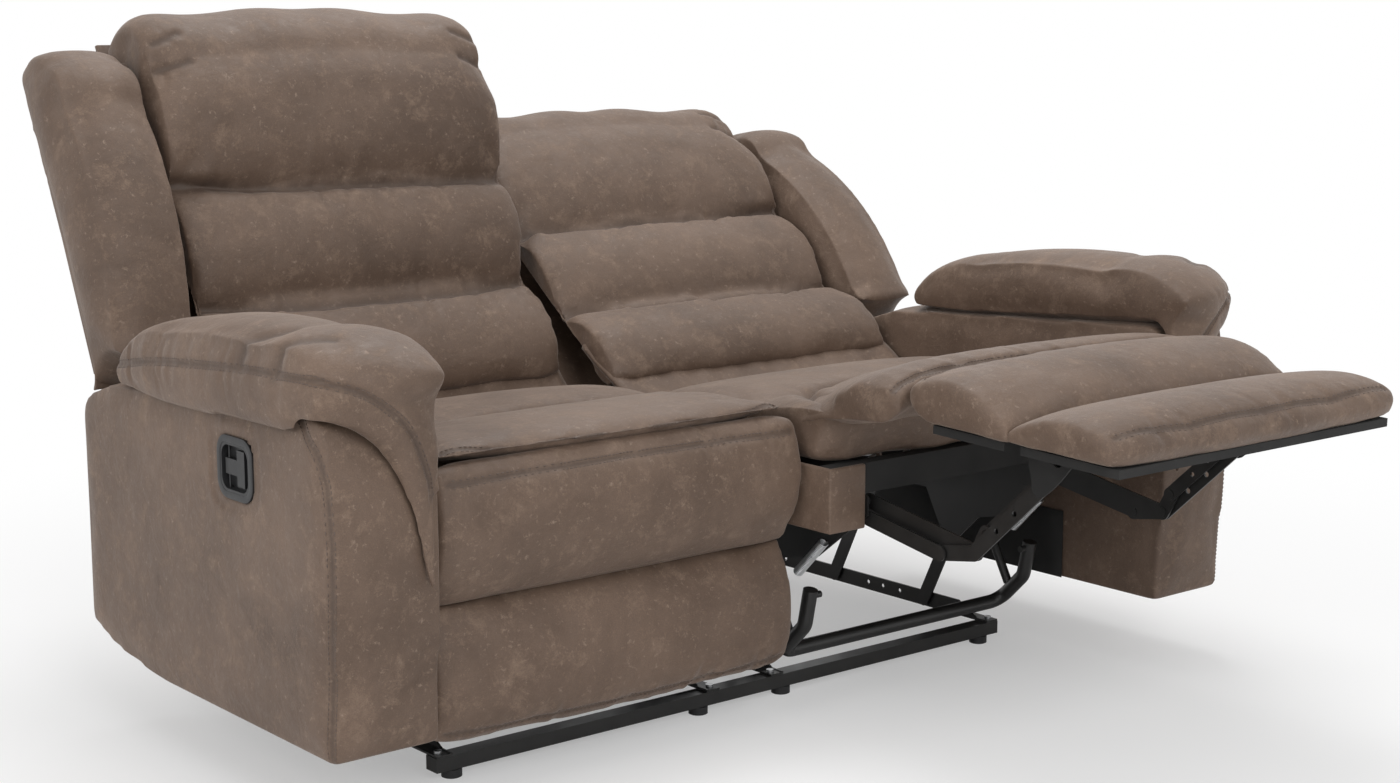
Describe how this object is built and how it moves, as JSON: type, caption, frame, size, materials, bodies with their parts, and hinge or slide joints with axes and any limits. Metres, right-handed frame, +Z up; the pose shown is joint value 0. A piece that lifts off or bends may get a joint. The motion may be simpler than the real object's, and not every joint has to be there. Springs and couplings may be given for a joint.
{
  "type": "reclining sofa",
  "caption": "Reclining sofa with padded arms, rolled backs and folding steel footrest mechanisms, one seat closed and one reclined, on a low steel base.",
  "frame": {"origin": "on the floor under the middle of the sofa as it stands, left unit closed and right unit open", "axes": "+X to the viewer's right across the two seats, -Y to the front, +Z up"},
  "size_m": [1.548, 1.5678, 1.0027],
  "materials": {
    "upholstery": "brushed suede-look microfibre",
    "black_steel": "semi-gloss black",
    "black_plastic": "satin",
    "zinc_steel": "zinc plated",
    "spring_steel": "drawn wire",
    "timber": "sawn"
  },
  "bodies": {
    "base": {"base_rails": "black_steel", "front_cross_bar": "black_steel", "rear_cross_bar": "black_steel", "glide_feet": "black_plastic", "base_bolts": "zinc_steel"},
    "left_front_swing": {"left_front_swing_links": "black_steel"},
    "left_rear_swing": {"left_rear_swing_links": "black_steel"},
    "left_carriage": {"left_side_plates": "black_steel", "left_cross_tube": "black_steel", "left_seat_box": "timber", "left_seat_springs": "spring_steel", "left_seat_cushion": "upholstery", "left_box_flap": "upholstery", "left_arm_frame": "timber", "left_arm_cover": "upholstery", "left_arm_pad": "upholstery", "left_handle_bezel": "black_plastic", "left_tension_springs": "zinc_steel"},
    "left_back": {"left_back_frame": "timber", "left_back_cushion": "upholstery", "left_back_wing": "upholstery", "left_back_panel": "upholstery", "left_back_brackets": "black_steel"},
    "left_handle": {"left_release_handle": "black_plastic"},
    "left_link_a_pair": {"left_link_a": "black_steel"},
    "left_link_b_pair": {"left_link_b": "black_steel"},
    "left_link_c_pair": {"left_link_c": "black_steel"},
    "left_link_d_pair": {"left_link_d": "black_steel"},
    "left_footrest": {"left_footrest_board": "timber", "left_footrest_pad": "upholstery", "left_legrest_board": "timber", "left_legrest_pad": "upholstery"},
    "right_front_swing": {"right_front_swing_links": "black_steel"},
    "right_rear_swing": {"right_rear_swing_links": "black_steel"},
    "right_carriage": {"right_side_plates": "black_steel", "right_cross_tube": "black_steel", "right_seat_box": "timber", "right_seat_springs": "spring_steel", "right_seat_cushion": "upholstery", "right_box_flap": "upholstery", "right_arm_frame": "timber", "right_arm_cover": "upholstery", "right_arm_pad": "upholstery", "right_handle_bezel": "black_plastic", "right_tension_springs": "zinc_steel"},
    "right_back": {"right_back_frame": "timber", "right_back_cushion": "upholstery", "right_back_wing": "upholstery", "right_back_panel": "upholstery", "right_back_brackets": "black_steel"},
    "right_handle": {"right_release_handle": "black_plastic"},
    "right_link_a_pair": {"right_link_a": "black_steel"},
    "right_link_b_pair": {"right_link_b": "black_steel"},
    "right_link_c_pair": {"right_link_c": "black_steel"},
    "right_link_d_pair": {"right_link_d": "black_steel"},
    "right_footrest": {"right_footrest_board": "timber", "right_footrest_pad": "upholstery", "right_legrest_board": "timber", "right_legrest_pad": "upholstery"}
  },
  "joints": [
    {"name": "left_front_swing_hinge", "type": "hinge", "parent": "base", "child": "left_front_swing", "pos_m": [-0.2895, 0.03673, 0.046], "axis": [1, 0, 0], "range_deg": [0, 51.36]},
    {"name": "left_carriage_hinge", "type": "hinge", "parent": "left_front_swing", "child": "left_carriage", "pos_m": [-0.2895, 0.10173, 0.18119], "axis": [-1, 0, 0], "range_deg": [0, 51.36]},
    {"name": "left_rear_swing_hinge", "type": "hinge", "parent": "base", "child": "left_rear_swing", "pos_m": [-0.2895, 0.25173, 0.046], "axis": [1, 0, 0], "range_deg": [0, 51.36]},
    {"name": "left_recline_hinge", "type": "hinge", "parent": "left_carriage", "child": "left_back", "pos_m": [-0.2895, 0.34473, 0.398], "axis": [-1, 0, 0], "range_deg": [0, 26.3]},
    {"name": "left_footrest_hinge", "type": "hinge", "parent": "left_carriage", "child": "left_link_b_pair", "pos_m": [-0.2895, -0.12627, 0.317], "axis": [-1, 0, 0], "range_deg": [0, 125]},
    {"name": "left_link_a_hinge", "type": "hinge", "parent": "left_carriage", "child": "left_link_a_pair", "pos_m": [-0.2895, -0.06727, 0.307], "axis": [-1, 0, 0], "range_deg": [0, 125]},
    {"name": "left_link_c_hinge", "type": "hinge", "parent": "left_link_b_pair", "child": "left_link_c_pair", "pos_m": [-0.2895, 0.02273, 0.167], "axis": [1, 0, 0], "range_deg": [0, 125]},
    {"name": "left_link_d_hinge", "type": "hinge", "parent": "left_link_b_pair", "child": "left_link_d_pair", "pos_m": [-0.2895, 0.00773, 0.137], "axis": [1, 0, 0], "range_deg": [0, 119]},
    {"name": "left_footrest_board_hinge", "type": "hinge", "parent": "left_link_c_pair", "child": "left_footrest", "pos_m": [-0.2895, -0.09327, 0.275], "axis": [-1, 0, 0], "range_deg": [0, 88]},
    {"name": "left_handle_hinge", "type": "hinge", "parent": "left_carriage", "child": "left_handle", "pos_m": [-0.7568, 0.00673, 0.437], "axis": [0, 0, 1], "range_deg": [-20, 0], "stiffness_Nm_per_rad": 0.3},
    {"name": "right_front_swing_hinge", "type": "hinge", "parent": "base", "child": "right_front_swing", "pos_m": [0.2895, 0.03673, 0.046], "axis": [1, 0, 0], "range_deg": [-51.36, 0]},
    {"name": "right_carriage_hinge", "type": "hinge", "parent": "right_front_swing", "child": "right_carriage", "pos_m": [0.2895, -0.02827, 0.18119], "axis": [-1, 0, 0], "range_deg": [-51.36, 0]},
    {"name": "right_rear_swing_hinge", "type": "hinge", "parent": "base", "child": "right_rear_swing", "pos_m": [0.2895, 0.25173, 0.046], "axis": [1, 0, 0], "range_deg": [-51.36, 0]},
    {"name": "right_recline_hinge", "type": "hinge", "parent": "right_carriage", "child": "right_back", "pos_m": [0.2895, 0.21473, 0.398], "axis": [-1, 0, 0], "range_deg": [-26.3, 0]},
    {"name": "right_footrest_hinge", "type": "hinge", "parent": "right_carriage", "child": "right_link_b_pair", "pos_m": [0.2895, -0.25627, 0.317], "axis": [-1, 0, 0], "range_deg": [-125, 0]},
    {"name": "right_link_a_hinge", "type": "hinge", "parent": "right_carriage", "child": "right_link_a_pair", "pos_m": [0.2895, -0.19727, 0.307], "axis": [-1, 0, 0], "range_deg": [-125, 0]},
    {"name": "right_link_c_hinge", "type": "hinge", "parent": "right_link_b_pair", "child": "right_link_c_pair", "pos_m": [0.2895, -0.46461, 0.28098], "axis": [1, 0, 0], "range_deg": [-125, 0]},
    {"name": "right_link_d_hinge", "type": "hinge", "parent": "right_link_b_pair", "child": "right_link_d_pair", "pos_m": [0.2895, -0.48058, 0.31048], "axis": [1, 0, 0], "range_deg": [-119, 0]},
    {"name": "right_footrest_board_hinge", "type": "hinge", "parent": "right_link_c_pair", "child": "right_footrest", "pos_m": [0.2895, -0.58061, 0.38898], "axis": [-1, 0, 0], "range_deg": [-88, 0]},
    {"name": "right_handle_hinge", "type": "hinge", "parent": "right_carriage", "child": "right_handle", "pos_m": [0.7568, -0.12327, 0.437], "axis": [0, 0, 1], "range_deg": [0, 20], "stiffness_Nm_per_rad": 0.3}
  ],
  "couplings": [
    {"joint": "left_carriage_hinge", "follows": "left_front_swing_hinge", "ratio": 1},
    {"joint": "left_rear_swing_hinge", "follows": "left_front_swing_hinge", "ratio": 1},
    {"joint": "left_recline_hinge", "follows": "left_front_swing_hinge", "ratio": 0.51209},
    {"joint": "left_link_a_hinge", "follows": "left_footrest_hinge", "ratio": 1},
    {"joint": "left_link_c_hinge", "follows": "left_footrest_hinge", "ratio": 1},
    {"joint": "left_link_d_hinge", "follows": "left_footrest_hinge", "ratio": 0.952},
    {"joint": "left_footrest_board_hinge", "follows": "left_footrest_hinge", "ratio": 0.704},
    {"joint": "right_carriage_hinge", "follows": "right_front_swing_hinge", "ratio": 1},
    {"joint": "right_rear_swing_hinge", "follows": "right_front_swing_hinge", "ratio": 1},
    {"joint": "right_recline_hinge", "follows": "right_front_swing_hinge", "ratio": 0.51209},
    {"joint": "right_link_a_hinge", "follows": "right_footrest_hinge", "ratio": 1},
    {"joint": "right_link_c_hinge", "follows": "right_footrest_hinge", "ratio": 1},
    {"joint": "right_link_d_hinge", "follows": "right_footrest_hinge", "ratio": 0.952},
    {"joint": "right_footrest_board_hinge", "follows": "right_footrest_hinge", "ratio": 0.704}
  ]
}
